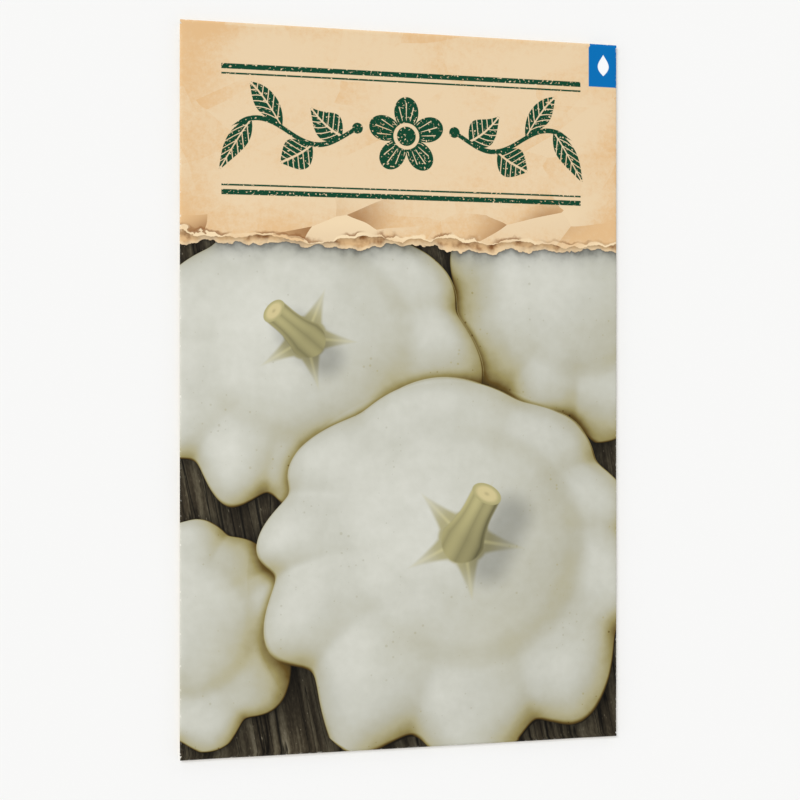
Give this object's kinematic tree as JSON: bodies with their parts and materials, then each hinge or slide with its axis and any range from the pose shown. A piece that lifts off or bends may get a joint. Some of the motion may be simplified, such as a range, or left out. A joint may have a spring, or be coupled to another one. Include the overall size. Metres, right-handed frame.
{
  "type": "seed packet",
  "caption": "Flat folded paper seed packet with a back seam, glued end flaps and loose squash seeds inside, lying on its back.",
  "frame": {"origin": "middle of the packet's footprint, on the surface that its back lies on", "axes": "+X to the right and +Y to the top edge as the front is read, +Z out of the front"},
  "size_m": [0.09, 0.144, 0.0036],
  "materials": {
    "printed_paper": "satin",
    "dried_glue": "matte",
    "seed_coat": "matte"
  },
  "bodies": {
    "root": {"paper_bag": "printed_paper", "back_seam_glue": "dried_glue", "bottom_flap_glue": "dried_glue", "top_flap_glue": "dried_glue", "seed_01": "seed_coat", "seed_02": "seed_coat", "seed_03": "seed_coat", "seed_04": "seed_coat", "seed_05": "seed_coat", "seed_06": "seed_coat", "seed_07": "seed_coat", "seed_08": "seed_coat", "seed_09": "seed_coat", "seed_10": "seed_coat", "seed_11": "seed_coat", "seed_12": "seed_coat"}
  },
  "joints": []
}
